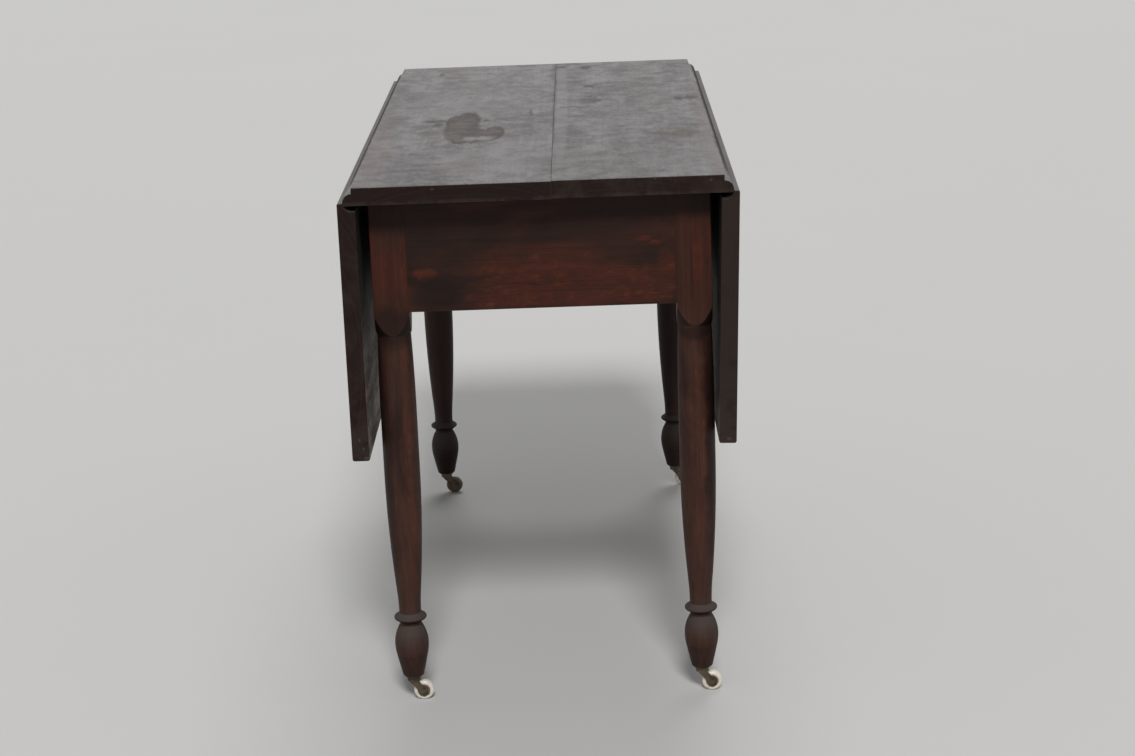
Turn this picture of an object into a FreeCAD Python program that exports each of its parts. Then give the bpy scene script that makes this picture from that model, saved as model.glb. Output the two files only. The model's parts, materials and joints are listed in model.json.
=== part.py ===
import FreeCAD
import Part
import math
import os

Vector = FreeCAD.Vector
os.makedirs("parts", exist_ok=True)

# Drop-leaf table with leaves hanging, in millimetres.
# X runs across the table, Y along it with the near end at minus Y, and Z is up from the floor.
table_height = 725.0
top_length = 1016.0
top_flat_width = 473.0        # flat of the top between its two moulded edges
board_thick = 23.0            # top and leaves alike
left_leaf_width = 343.0       # from the hinge line to the free edge
right_leaf_width = 335.0
leaf_lean = 1.7               # degrees that the right leaf hangs inward of plumb
seam_offset = 17.0            # joint of the two top boards, right of the middle
board_end_step = 4.0          # the right board stops this far short at the near end
arris = 1.0                   # softened edges of the boards
free_edge_round = 3.0         # worn free edge of a leaf
lip_round = 2.5               # worn lip of a leaf at the rule joint

# Rule joint between the top and a leaf
quirk = 7.5                   # upright step at the top of the moulding
pin_rise = 4.0                # hinge line above the underside
joint_clear = 0.5             # running room between moulding and cove

# Frame of legs and rails
end_overhang = 40.0
side_setback = 16.5           # from the hinge line in to the face of the legs
leg_block = 46.0
block_arris = 1.0
apron_depth = 151.0
apron_thick = 22.0
side_rail_thick = 18.0
tenon_thick = 8.0
tenon_shoulder = 12.0
tenon_wall = 3.0              # wood left between crossing mortises
tenon_clear = 0.15
tenon_end_gap = 1.0

# Turning of the legs: radii, and heights above the floor
tongue_drop = 31.0            # flat tongue of the block, below the apron
tongue_rise = 26.0            # height over which its corners are turned away
tongue_ledge = 0.3            # turned edge at its tip, beyond the face of the block
tongue_bulge = 0.3            # fullness of the turned corners
shoulder_radius = 22.0
belly_radius = 24.0
belly_top = 420.0
belly_low = 330.0
ankle_radius = 16.2
ankle_height = 158.0
neck_radius = 14.8
ring_radius = 22.0
ring_height = 121.0
ring_root = 14.0              # height of the ring where it leaves the neck
ring_tip = 2.6                # half thickness of its rounded edge
groove_width = 3.0
bulb_radius = 22.9
bulb_height = 83.0
calf_radius = 21.4
calf_height = 68.7
foot_radius = 14.4
foot_chamfer = 1.2

# Fly bracket that swings out of each side to hold up its leaf
fly_thick = 20.0
fly_setback = 2.0             # behind the face of the legs
fly_depth = 95.0
fly_length = 230.0            # from pin to tip
fly_tip_depth = 30.0
fly_root = 45.0               # full-depth length beside the pin
fly_pin_place = -115.0        # along the table, from the middle
fly_gap = 0.5
fly_top_gap = 0.8
fly_tip_gap = 2.0
finger_count = 5
finger_gap = 0.3
finger_clear = 0.4
fly_pin_radius = 3.0
fly_pin_sink = 2.0

# Glue blocks that hold the top to the frame
glue_block = 20.0
glue_block_length = 150.0
glue_screw_spread = 90.0
glue_screw_bite = 13.0        # length of screw in the top

# Drop-leaf hinges
hinge_spread = 640.0          # between the two hinges of a leaf
hinge_width = 38.0
flap_thick = 2.0
top_flap_length = 24.0
leaf_flap_length = 52.0
barrel_radius = 3.3
hinge_pin_radius = 1.6
middle_knuckle = 16.0
knuckle_gap = 0.3
hinge_relief = 0.6
recess_clear = 0.2
top_screw_reach = 14.0        # from the hinge line
leaf_screw_near = 20.0
leaf_screw_far = 43.0
hinge_screw_spread = 22.0

# Slotted wood screws
screw_shank_radius = 1.9
screw_head_radius = 3.6
hinge_screw_length = 15.0
screw_tip = 3.0
slot_width = 0.8
slot_depth = 0.7
screw_clear = 0.05

# Casters
wheel_radius = 13.75
wheel_width = 11.0
wheel_tread = 4.4             # flat of the rim
wheel_face_radius = 9.8       # flat of the wheel's side
caster_trail = 13.0
axle_radius = 2.2
axle_head_radius = 3.4
axle_head = 1.2
arm_thick = 2.4
arm_gap = 0.5
eye_radius = 6.4
arm_root_radius = 5.0
arm_width = 9.0
crown_radius = 9.0
crown_thick = 6.0
wheel_top_gap = 0.8
swivel_gap = 0.3
flange_radius = 11.5
flange_thick = 1.6
stem_radius = 4.0
stem_length = 30.0
stem_end_gap = 1.0
socket_wall = 2.0
socket_cap = 2.0
running_clear = 0.05

# Working values: turns, tolerance, and how far a cutting shape runs past the face that it opens
full_turn = 360.0
plumb_turn = 90.0
half_way = math.pi / 4        # middle of a quarter round
same_level = 1e-4
cut_past = 1.0

# Places that follow from the sizes above
half_length = top_length / 2
hinge_x = top_flat_width / 2
underside = table_height - board_thick
pin_z = underside + pin_rise
ovolo = board_thick - quirk - pin_rise
block_face_x = hinge_x - side_setback
block_face_y = half_length - end_overhang
leg_x = block_face_x - leg_block / 2
leg_y = block_face_y - leg_block / 2
block_back_x = block_face_x - leg_block
block_back_y = block_face_y - leg_block
apron_bottom = underside - apron_depth
tongue_end = apron_bottom - tongue_drop
rail_face_x = block_face_x - fly_setback - fly_thick
rail_back_x = rail_face_x - side_rail_thick
tenon_length = leg_block - (apron_thick + tenon_thick) / 2 - tenon_wall
crown_bottom = 2 * wheel_radius + wheel_top_gap
crown_top = crown_bottom + crown_thick
flange_bottom = crown_top + swivel_gap
foot_height = flange_bottom + flange_thick

sides = {"left": -1, "right": 1}
leaf_widths = {"left": left_leaf_width, "right": right_leaf_width}
ends = {"front": -1, "back": 1}
along_y = Vector(0, 1, 0)
up = Vector(0, 0, 1)


def box(low, high):
    size = Vector(*high) - Vector(*low)
    return Part.makeBox(size.x, size.y, size.z, Vector(*low))


def rod(radius, start, axis, length):
    return Part.makeCylinder(radius, length, Vector(*start), axis)


def line(first, second):
    return Part.makeLine(Vector(*first), Vector(*second))


def arc(first, middle, last):
    return Part.Arc(Vector(*first), Vector(*middle), Vector(*last)).toShape()


# Arcs that run on from one another through the points, the first leaving along the given way
def tangent_arcs(start, way, points):
    edges = []
    here = Vector(*start)
    for point in points:
        there = Vector(*point)
        chord = there - here
        ahead = chord * (chord.dot(way) / chord.dot(chord))
        aside = way - ahead
        turn = math.atan2(aside.Length, ahead.Length)
        bulge = aside.normalize() * (chord.Length / 2 * math.tan(turn / 2))
        edges.append(Part.Arc(here, here + chord / 2 + bulge, there).toShape())
        way = ahead * 2 - way
        here = there
    return edges


def face(edges):
    return Part.Face(Part.Wire(edges))


def polygon(points):
    vectors = [Vector(*point) for point in points]
    return Part.Face(Part.makePolygon(vectors + vectors[:1]))


def across(shape):
    return shape.mirror(Vector(0, 0, 0), Vector(1, 0, 0))


def along(shape):
    return shape.mirror(Vector(0, 0, 0), Vector(0, 1, 0))


def on_side(shape, side):
    return shape if sides[side] > 0 else across(shape)


def at_end(shape, end):
    return shape if ends[end] > 0 else along(shape)


def edges_at_height(shape, height):
    return [edge for edge in shape.Edges
            if max(abs(edge.BoundBox.ZMin - height), abs(edge.BoundBox.ZMax - height)) < same_level]


def save(shape, node):
    shape.removeSplitter().exportStep("parts/" + node + ".step")


# Wood screw with its head's face at the origin, driven along plus Z
def wood_screw(length, room=0.0):
    shank = screw_shank_radius + room
    head = screw_head_radius + room
    neck = head - shank
    return face([
        line((0, 0, 0), (head, 0, 0)),
        line((head, 0, 0), (shank, 0, neck)),
        line((shank, 0, neck), (shank, 0, length - screw_tip + room)),
        line((shank, 0, length - screw_tip + room), (0, 0, length + room)),
        line((0, 0, length + room), (0, 0, 0)),
    ]).revolve(Vector(0, 0, 0), up, full_turn)


def slotted_screw(length):
    reach = screw_head_radius + cut_past
    slot = box((-reach, -slot_width / 2, -cut_past), (reach, slot_width / 2, slot_depth))
    return wood_screw(length).cut(slot)


# Hinge pieces at plus X with the leaf raised, the hinge line along Y through the origin
flap_low = -pin_rise
flap_high = flap_low + flap_thick
flap_root = pin_rise + hinge_relief
half_hinge = hinge_width / 2
half_middle = middle_knuckle / 2
outer_knuckles = [(-half_hinge, -half_middle - knuckle_gap), (half_middle + knuckle_gap, half_hinge)]
middle_knuckles = [(-half_middle, half_middle)]
top_screw_places = [(-top_screw_reach, way * hinge_screw_spread / 2) for way in (-1, 1)]
leaf_screw_places = [(leaf_screw_far, way * hinge_screw_spread / 2) for way in (-1, 1)]
leaf_screw_places.append((leaf_screw_near, 0.0))


def flap(reach, knuckles, screw_places):
    way = math.copysign(1, reach)
    near, far = sorted((way * flap_root, reach))
    shape = box((near, -half_hinge, flap_low), (far, half_hinge, flap_high))
    for first, last in knuckles:
        inner, outer = sorted((0, way * flap_root))
        shape = shape.fuse(box((inner, first, flap_low), (outer, last, flap_high)))
        shape = shape.fuse(rod(barrel_radius, (0, first, 0), along_y, last - first))
    shape = shape.cut(rod(hinge_pin_radius + running_clear, (0, -hinge_width, 0), along_y, 2 * hinge_width))
    for x, y in screw_places:
        shape = shape.cut(wood_screw(hinge_screw_length, screw_clear).translate(Vector(x, y, flap_low)))
    return shape


def hinge_pin():
    return rod(hinge_pin_radius, (0, -half_hinge, 0), along_y, hinge_width)


def hinge_screws(screw_places):
    screws = [slotted_screw(hinge_screw_length).translate(Vector(x, y, flap_low)) for x, y in screw_places]
    return Part.Compound(screws)


# Wood taken out of the top and of the leaf for one hinge
def top_recess():
    half = half_hinge + recess_clear
    low = flap_low - cut_past
    shape = rod(flap_root, (0, -half, 0), along_y, 2 * half)
    shape = shape.fuse(box((-flap_root, -half, low), (ovolo + cut_past, half, flap_high + hinge_relief)))
    shape = shape.fuse(box((-top_flap_length - recess_clear, -half, low), (0, half, flap_high)))
    for x, y in top_screw_places:
        shape = shape.fuse(wood_screw(hinge_screw_length, screw_clear).translate(Vector(x, y, flap_low)))
    return shape


def leaf_recess():
    half = half_hinge + recess_clear
    shape = box((0, -half, flap_low - cut_past), (leaf_flap_length + recess_clear, half, flap_high))
    for x, y in leaf_screw_places:
        shape = shape.fuse(wood_screw(hinge_screw_length, screw_clear).translate(Vector(x, y, flap_low)))
    return shape


# Each hinge is set on its hinge line, and what rides on a leaf is then let down with it
def on_hinge_line(shape, end):
    return shape.copy().translate(Vector(hinge_x, ends[end] * hinge_spread / 2, pin_z))


def let_down(shape, side):
    angle = plumb_turn + (leaf_lean if side == "right" else 0)
    return on_side(shape.copy().rotate(Vector(hinge_x, 0, pin_z), along_y, angle), side)


# Screw places for the glue blocks: each screw goes up through its block into the top
apron_back_y = block_face_y - apron_thick
glue_screw_length = glue_block + glue_screw_bite
end_block_y = apron_back_y - glue_block / 2
side_block_x = rail_back_x - glue_block / 2
glue_screw_places = []
for way in (-1, 1):
    glue_screw_places.append((way * glue_screw_spread / 2, -end_block_y))
    glue_screw_places.append((way * glue_screw_spread / 2, end_block_y))
    glue_screw_places.append((-side_block_x, way * glue_screw_spread / 2))
    glue_screw_places.append((side_block_x, way * glue_screw_spread / 2))
glue_bottom = underside - glue_block


def glue_screw_holes():
    return [wood_screw(glue_screw_length, screw_clear).translate(Vector(x, y, glue_bottom))
            for x, y in glue_screw_places]


# Top board at plus X, from its seam to its moulded edge, then put on its own side
def top_board(side):
    seam = sides[side] * seam_offset
    edge = math.sqrt(ovolo ** 2 - pin_rise ** 2)
    near = -half_length + (board_end_step if side == "right" else 0)
    section = face([
        line((seam, near, underside), (hinge_x + edge, near, underside)),
        arc((hinge_x + edge, near, underside),
            (hinge_x + ovolo * math.cos(half_way), near, pin_z + ovolo * math.sin(half_way)),
            (hinge_x, near, pin_z + ovolo)),
        line((hinge_x, near, pin_z + ovolo), (hinge_x, near, table_height)),
        line((hinge_x, near, table_height), (seam, near, table_height)),
        line((seam, near, table_height), (seam, near, underside)),
    ])
    board = section.extrude(Vector(0, half_length - near, 0))
    board = board.makeFillet(arris, edges_at_height(board, table_height))
    for end in ends:
        board = board.cut(on_hinge_line(top_recess(), end))
    return on_side(board, side).cut(Part.Compound(glue_screw_holes()))


# Leaf in its raised place at plus X
def raised_leaf(width):
    cove = ovolo + joint_clear
    low_edge = math.sqrt(cove ** 2 - pin_rise ** 2)
    high_edge = math.sqrt(cove ** 2 - joint_clear ** 2)
    free = hinge_x + width
    lip = hinge_x + joint_clear
    near = -half_length
    free_x = free - free_edge_round
    free_low = underside + free_edge_round
    free_high = table_height - free_edge_round
    lip_x = lip + lip_round
    lip_z = table_height - lip_round
    free_reach = free_edge_round * math.cos(half_way)
    lip_reach = lip_round * math.cos(half_way)
    section = face([
        line((hinge_x + low_edge, near, underside), (free_x, near, underside)),
        arc((free_x, near, underside), (free_x + free_reach, near, free_low - free_reach),
            (free, near, free_low)),
        line((free, near, free_low), (free, near, free_high)),
        arc((free, near, free_high), (free_x + free_reach, near, free_high + free_reach),
            (free_x, near, table_height)),
        line((free_x, near, table_height), (lip_x, near, table_height)),
        arc((lip_x, near, table_height), (lip_x - lip_reach, near, lip_z + lip_reach), (lip, near, lip_z)),
        line((lip, near, lip_z), (lip, near, pin_z + high_edge)),
        arc((lip, near, pin_z + high_edge),
            (hinge_x + cove * math.cos(half_way), near, pin_z + cove * math.sin(half_way)),
            (hinge_x + low_edge, near, underside)),
    ])
    leaf = section.extrude(Vector(0, top_length, 0))
    end_edges = [edge for edge in edges_at_height(leaf, table_height) if edge.BoundBox.YLength < arris]
    leaf = leaf.makeFillet(arris, end_edges)
    for end in ends:
        leaf = leaf.cut(on_hinge_line(leaf_recess(), end))
    return leaf


# Tenon box for a rail end, and the same box with room for its mortise
def end_tenon(room=0.0, end_room=0.0):
    middle = block_face_y - apron_thick / 2
    half = tenon_thick / 2 + room
    return box((block_back_x - end_room, middle - half, apron_bottom + tenon_shoulder - room),
               (block_back_x + tenon_length + end_room, middle + half, underside - tenon_shoulder + room))


def side_tenon(room=0.0, end_room=0.0):
    middle = rail_face_x - side_rail_thick / 2
    half = tenon_thick / 2 + room
    return box((middle - half, block_back_y - end_room, apron_bottom + tenon_shoulder - room),
               (middle + half, block_back_y + tenon_length + end_room, underside - tenon_shoulder + room))


def apron():
    board = box((-block_back_x, apron_back_y, apron_bottom), (block_back_x, block_face_y, underside))
    return board.fuse(end_tenon()).fuse(across(end_tenon()))


def side_rail():
    board = box((rail_back_x, -block_back_y, apron_bottom), (rail_face_x, block_back_y, underside))
    return board.fuse(side_tenon()).fuse(along(side_tenon()))


# Turned outline of a leg, from the tongue down to the foot, as radius and height
def leg_outline():
    ring_top = ring_height + ring_root / 2
    ring_low = ring_height - ring_root / 2
    tip = ring_radius - ring_tip
    bulb_top = ring_low - groove_width
    foot_edge = foot_height + foot_chamfer
    top = tongue_end + tongue_rise / 2
    down = Vector(0, 0, -1)
    edges = [
        line((0, 0, top), (shoulder_radius, 0, top)),
        line((shoulder_radius, 0, top), (shoulder_radius, 0, tongue_end)),
    ]
    edges += tangent_arcs((belly_radius, 0, belly_top), up, [(shoulder_radius, 0, tongue_end)])
    edges += [line((belly_radius, 0, belly_top), (belly_radius, 0, belly_low))]
    edges += tangent_arcs((belly_radius, 0, belly_low), down,
                          [(ankle_radius, 0, ankle_height), (neck_radius, 0, ring_top)])
    edges += [
        line((neck_radius, 0, ring_top), (tip, 0, ring_height + ring_tip)),
        arc((tip, 0, ring_height + ring_tip), (ring_radius, 0, ring_height),
            (tip, 0, ring_height - ring_tip)),
        line((tip, 0, ring_height - ring_tip), (neck_radius, 0, ring_low)),
        line((neck_radius, 0, ring_low), (neck_radius, 0, bulb_top)),
    ]
    edges += tangent_arcs((bulb_radius, 0, bulb_height), up, [(neck_radius, 0, bulb_top)])
    edges += tangent_arcs((bulb_radius, 0, bulb_height), down,
                          [(calf_radius, 0, calf_height), (foot_radius, 0, foot_edge)])
    edges += [
        line((foot_radius, 0, foot_edge), (foot_radius - foot_chamfer, 0, foot_height)),
        line((foot_radius - foot_chamfer, 0, foot_height), (0, 0, foot_height)),
        line((0, 0, foot_height), (0, 0, top)),
    ]
    return edges


# Square block whose corners a turned shoulder rounds away into flat tongues
def leg_top():
    half = leg_block / 2
    block = box((-half, -half, tongue_end), (half, half, underside))
    upright = [edge for edge in block.Edges if edge.BoundBox.ZLength > leg_block]
    block = block.makeFillet(block_arris, upright)
    corner = half * math.sqrt(2)
    tip = half + tongue_ledge
    full = tongue_end + tongue_rise
    shoulder = face([
        line((0, 0, tongue_end), (tip, 0, tongue_end)),
        arc((tip, 0, tongue_end),
            ((tip + corner) / 2 + tongue_bulge, 0, (tongue_end + full) / 2),
            (corner, 0, full)),
        line((corner, 0, full), (corner, 0, underside)),
        line((corner, 0, underside), (0, 0, underside)),
        line((0, 0, underside), (0, 0, tongue_end)),
    ]).revolve(Vector(0, 0, 0), up, full_turn)
    return block.common(shoulder)


# Leg of the far right corner, with its mortises and the hole for its caster
def leg():
    turned = face(leg_outline()).revolve(Vector(0, 0, 0), up, full_turn)
    shape = leg_top().fuse(turned).translate(Vector(leg_x, leg_y, 0))
    shape = shape.cut(end_tenon(tenon_clear, tenon_end_gap))
    shape = shape.cut(side_tenon(tenon_clear, tenon_end_gap))
    hole_start = foot_height - cut_past
    hole = rod(socket_radius + running_clear, (leg_x, leg_y, hole_start), up, socket_top - hole_start)
    return shape.cut(hole)


# Fly bracket and the rail that it is hinged to, on the right, by fingers that take turns on one pin
finger_radius = fly_thick / 2 - fly_gap
finger_height = fly_depth / finger_count
fly_x = rail_face_x + fly_thick / 2
fly_bottom = underside - fly_depth


def finger(level, radius, trim):
    low = fly_bottom + level * finger_height + trim
    return rod(radius, (fly_x, fly_pin_place, low), up, finger_height - 2 * trim)


def fly_pin_hole():
    start = (fly_x, fly_pin_place, fly_bottom - cut_past)
    return rod(fly_pin_radius + running_clear, start, up, fly_depth + 2 * cut_past)


def fly_knuckle_rail():
    back = rail_face_x
    front = fly_x + finger_radius
    near = -block_back_y
    bevel = fly_pin_place - finger_radius
    plan = polygon([(fly_x, fly_pin_place, fly_bottom), (front, bevel, fly_bottom), (front, near, fly_bottom),
                    (back, near, fly_bottom), (back, fly_pin_place - fly_thick / 2, fly_bottom)])
    shape = plan.extrude(Vector(0, 0, fly_depth))
    for level in range(finger_count):
        if level % 2:
            shape = shape.cut(finger(level, finger_radius + finger_clear, 0))
        else:
            shape = shape.fuse(finger(level, finger_radius, 0))
    return shape.cut(fly_pin_hole())


def fly_bracket():
    top = underside - fly_top_gap
    tip = fly_pin_place + fly_length
    root = fly_pin_place + fly_root
    back = fly_x - finger_radius
    front = fly_x + finger_radius
    bevel = fly_pin_place + finger_radius
    sweep = (fly_length - fly_root) / 2
    tip_bottom = top - fly_tip_depth
    ogee = Part.BezierCurve()
    ogee.setPoles([Vector(back, tip, tip_bottom), Vector(back, tip - sweep, tip_bottom),
                   Vector(back, root + sweep, fly_bottom), Vector(back, root, fly_bottom)])
    side_view = face([
        line((back, fly_pin_place, top), (back, tip, top)),
        line((back, tip, top), (back, tip, tip_bottom)),
        ogee.toShape(),
        line((back, root, fly_bottom), (back, fly_pin_place, fly_bottom)),
        line((back, fly_pin_place, fly_bottom), (back, fly_pin_place, top)),
    ])
    plan = polygon([(fly_x, fly_pin_place, fly_bottom), (front, bevel, fly_bottom), (front, tip, fly_bottom),
                    (back, tip, fly_bottom), (back, bevel, fly_bottom)])
    shape = side_view.extrude(Vector(front - back, 0, 0)).common(plan.extrude(Vector(0, 0, fly_depth)))
    for level in range(finger_count):
        if level % 2:
            shape = shape.fuse(finger(level, finger_radius, finger_gap))
        else:
            shape = shape.cut(finger(level, finger_radius + finger_clear, -finger_gap))
    return shape.cut(fly_pin_hole())


def fly_pin():
    return rod(fly_pin_radius, (fly_x, fly_pin_place, fly_bottom), up, fly_depth - fly_pin_sink)


def fly_filler_rail():
    near = fly_pin_place + fly_length + fly_tip_gap
    return box((rail_face_x, near, fly_bottom), (fly_x + finger_radius, block_back_y, underside))


# Caster pieces about a leg's axis
arm_inside = wheel_width / 2 + arm_gap
arm_outside = arm_inside + arm_thick
stem_top = crown_top + stem_length
socket_radius = stem_radius + running_clear + socket_wall
socket_top = stem_top + stem_end_gap + socket_cap


def caster_socket():
    shape = rod(flange_radius, (0, 0, flange_bottom), up, flange_thick)
    shape = shape.fuse(rod(socket_radius, (0, 0, flange_bottom), up, socket_top - flange_bottom))
    bore_depth = stem_top + stem_end_gap - flange_bottom
    return shape.cut(rod(stem_radius + running_clear, (0, 0, flange_bottom), up, bore_depth))


# Flat arm from the crown down to the round eye of the axle
def fork_arm(start_y):
    root = Vector(0, start_y, crown_top - arm_root_radius)
    eye = Vector(caster_trail, start_y, wheel_radius)
    run = eye - root
    out = Vector(-run.z, 0, run.x) * (arm_width / 2 / run.Length)
    corners = [root + out, eye + out, eye - out, root - out]
    link = polygon([tuple(corner) for corner in corners]).extrude(Vector(0, arm_thick, 0))
    link = link.fuse(rod(arm_root_radius, tuple(root), along_y, arm_thick))
    return link.fuse(rod(eye_radius, tuple(eye), along_y, arm_thick))


def caster_fork():
    shape = rod(crown_radius, (0, 0, crown_bottom), up, crown_thick)
    shape = shape.fuse(rod(stem_radius, (0, 0, crown_bottom), up, stem_top - crown_bottom))
    shape = shape.fuse(fork_arm(arm_inside)).fuse(fork_arm(-arm_outside))
    reach = arm_outside + cut_past
    bore = rod(axle_radius + running_clear, (caster_trail, -reach, wheel_radius), along_y, 2 * reach)
    return shape.cut(bore)


def caster_axle():
    shape = rod(axle_radius, (caster_trail, -arm_outside, wheel_radius), along_y, 2 * arm_outside)
    for start in (arm_outside, -arm_outside - axle_head):
        shape = shape.fuse(rod(axle_head_radius, (caster_trail, start, wheel_radius), along_y, axle_head))
    return shape


def caster_wheel():
    bore = axle_radius + running_clear
    half = wheel_width / 2
    tread = wheel_tread / 2
    drop = wheel_radius - wheel_face_radius
    shoulder_r = wheel_face_radius + drop * math.sin(half_way)
    shoulder_y = tread + (half - tread) * math.cos(half_way)
    section = face([
        line((bore, -half, 0), (wheel_face_radius, -half, 0)),
        arc((wheel_face_radius, -half, 0), (shoulder_r, -shoulder_y, 0), (wheel_radius, -tread, 0)),
        line((wheel_radius, -tread, 0), (wheel_radius, tread, 0)),
        arc((wheel_radius, tread, 0), (shoulder_r, shoulder_y, 0), (wheel_face_radius, half, 0)),
        line((wheel_face_radius, half, 0), (bore, half, 0)),
        line((bore, half, 0), (bore, -half, 0)),
    ])
    wheel = section.revolve(Vector(0, 0, 0), along_y, full_turn)
    return wheel.translate(Vector(caster_trail, 0, wheel_radius))


# Pieces on each side of the table
for side in sides:
    save(top_board(side), "top_board_" + side)
    save(let_down(raised_leaf(leaf_widths[side]), side), "leaf_" + side)
    save(on_side(side_rail(), side), "side_rail_" + side)
    save(on_side(fly_knuckle_rail(), side), "fly_knuckle_rail_" + side)
    save(on_side(fly_filler_rail(), side), "fly_filler_rail_" + side)
    save(on_side(fly_bracket(), side), "fly_bracket_" + side)
    save(on_side(fly_pin(), side), "fly_pin_" + side)
    for end in ends:
        place = side + "_" + end
        top_flap = on_hinge_line(flap(-top_flap_length, outer_knuckles, top_screw_places), end)
        leaf_flap = on_hinge_line(flap(leaf_flap_length, middle_knuckles, leaf_screw_places), end)
        save(on_side(top_flap, side), "hinge_top_flap_" + place)
        save(let_down(leaf_flap, side), "hinge_leaf_flap_" + place)
        save(on_side(on_hinge_line(hinge_pin(), end), side), "hinge_pin_" + place)
    leaf_screws = [let_down(on_hinge_line(hinge_screws(leaf_screw_places), end), side) for end in ends]
    save(Part.Compound(leaf_screws), "hinge_screws_leaf_" + side)

# Screws that go up into the top
top_hinge_screws = [on_side(on_hinge_line(hinge_screws(top_screw_places), end), side)
                    for side in sides for end in ends]
save(Part.Compound(top_hinge_screws), "hinge_screws_top")
save(Part.Compound([slotted_screw(glue_screw_length).translate(Vector(x, y, glue_bottom))
                    for x, y in glue_screw_places]), "glue_block_screws")

# End rails, and a glue block inside each rail
half_block = glue_block_length / 2
for end in ends:
    save(at_end(apron(), end), "apron_" + end)
    block = box((-half_block, apron_back_y - glue_block, glue_bottom), (half_block, apron_back_y, underside))
    save(at_end(block, end).cut(Part.Compound(glue_screw_holes())), "glue_block_" + end)
for side in sides:
    block = box((rail_back_x - glue_block, -half_block, glue_bottom), (rail_back_x, half_block, underside))
    save(on_side(block, side).cut(Part.Compound(glue_screw_holes())), "glue_block_" + side)

# Legs and their casters, all the wheels trailing to plus X
for end in ends:
    for side in sides:
        corner = end + "_" + side
        place = Vector(sides[side] * leg_x, ends[end] * leg_y, 0)
        save(at_end(on_side(leg(), side), end), "leg_" + corner)
        save(caster_socket().translate(place), "caster_socket_" + corner)
        save(caster_fork().translate(place), "caster_fork_" + corner)
        save(caster_axle().translate(place), "caster_axle_" + corner)
        save(caster_wheel().translate(place), "caster_wheel_" + corner)
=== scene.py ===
import bpy
import json
import math
from mathutils import Matrix, Vector

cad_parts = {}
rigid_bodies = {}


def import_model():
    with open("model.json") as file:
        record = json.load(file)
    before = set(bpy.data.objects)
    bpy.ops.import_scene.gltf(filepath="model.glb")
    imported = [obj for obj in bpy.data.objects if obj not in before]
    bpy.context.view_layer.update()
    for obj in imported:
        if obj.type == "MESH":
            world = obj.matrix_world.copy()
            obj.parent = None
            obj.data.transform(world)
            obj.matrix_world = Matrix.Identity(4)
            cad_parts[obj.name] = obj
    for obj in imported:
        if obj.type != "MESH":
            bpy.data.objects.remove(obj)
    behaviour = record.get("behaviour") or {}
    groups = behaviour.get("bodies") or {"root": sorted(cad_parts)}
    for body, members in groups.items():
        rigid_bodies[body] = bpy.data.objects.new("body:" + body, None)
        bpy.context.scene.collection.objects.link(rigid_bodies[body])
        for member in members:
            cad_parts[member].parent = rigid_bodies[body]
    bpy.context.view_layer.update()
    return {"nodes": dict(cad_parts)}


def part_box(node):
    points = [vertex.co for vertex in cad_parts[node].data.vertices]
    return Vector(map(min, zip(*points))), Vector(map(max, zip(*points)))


for leftOver in list(bpy.data.objects):     # the start-up cube, lamp and camera
    bpy.data.objects.remove(leftOver)

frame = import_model()
nodes = frame["nodes"]
print("frame loaded,", len(nodes), "nodes")


# small helpers for shader trees; every finish works in metres on the piece itself

def startFinish(name):
    finish = bpy.data.materials.new(name)
    finish.use_nodes = True
    tree = finish.node_tree
    tree.nodes.clear()
    output = tree.nodes.new("ShaderNodeOutputMaterial")
    shader = tree.nodes.new("ShaderNodeBsdfPrincipled")
    tree.links.new(shader.outputs["BSDF"], output.inputs["Surface"])
    return finish, tree, shader


def feed(tree, socket, value):              # a link, a colour or a plain value
    if isinstance(value, bpy.types.NodeSocket):
        tree.links.new(value, socket)
    elif socket.type == "RGBA":
        socket.default_value = (*value, 1)
    else:
        socket.default_value = value


def maths(tree, operation, first, second, clamp=False):
    node = tree.nodes.new("ShaderNodeMath")
    node.operation = operation
    node.use_clamp = clamp
    feed(tree, node.inputs[0], first)
    feed(tree, node.inputs[1], second)
    return node.outputs[0]


def chained(tree, operation, values):       # one value out of many
    whole = values[0]
    for value in values[1:]:
        whole = maths(tree, operation, whole, value)
    return whole


def times(tree, *factors):
    return chained(tree, "MULTIPLY", factors)


def vectorMaths(tree, operation, first, second=None):
    node = tree.nodes.new("ShaderNodeVectorMath")
    node.operation = operation
    feed(tree, node.inputs[0], first)
    if second is not None:
        feed(tree, node.inputs["Scale"] if operation == "SCALE" else node.inputs[1], second)
    return node.outputs["Value"] if operation in ("DOT_PRODUCT", "LENGTH") else node.outputs["Vector"]


def spread(tree, value, start, full):       # smooth step from 0 at start to 1 at full, upward or downward
    node = tree.nodes.new("ShaderNodeMapRange")
    node.interpolation_type = "SMOOTHSTEP"
    feed(tree, node.inputs["Value"], value)
    node.inputs["From Min"].default_value = min(start, full)
    node.inputs["From Max"].default_value = max(start, full)
    node.inputs["To Min"].default_value = 0 if start < full else 1
    node.inputs["To Max"].default_value = 1 if start < full else 0
    return node.outputs["Result"]


def between(tree, value, low, high):        # plain blend from low to high
    node = tree.nodes.new("ShaderNodeMapRange")
    feed(tree, node.inputs["Value"], value)
    feed(tree, node.inputs["To Min"], low)
    feed(tree, node.inputs["To Max"], high)
    return node.outputs["Result"]


def tint(tree, share, under, colour):
    node = tree.nodes.new("ShaderNodeMix")
    node.data_type = "RGBA"
    feed(tree, node.inputs[0], share)
    feed(tree, node.inputs[6], under)
    feed(tree, node.inputs[7], colour)
    return node.outputs[2]


def over(tree, mask, share, under, colour):         # a thinned layer of the colour
    return tint(tree, times(tree, mask, share), under, colour)


def layer(tree, pattern, band, under, colour):      # the colour where a pattern lies high
    start, full, share = band
    return over(tree, spread(tree, pattern, start, full), share, under, colour)


def rougher(tree, gloss, mask, amount):
    return maths(tree, "ADD", gloss, times(tree, mask, amount), True)


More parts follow.
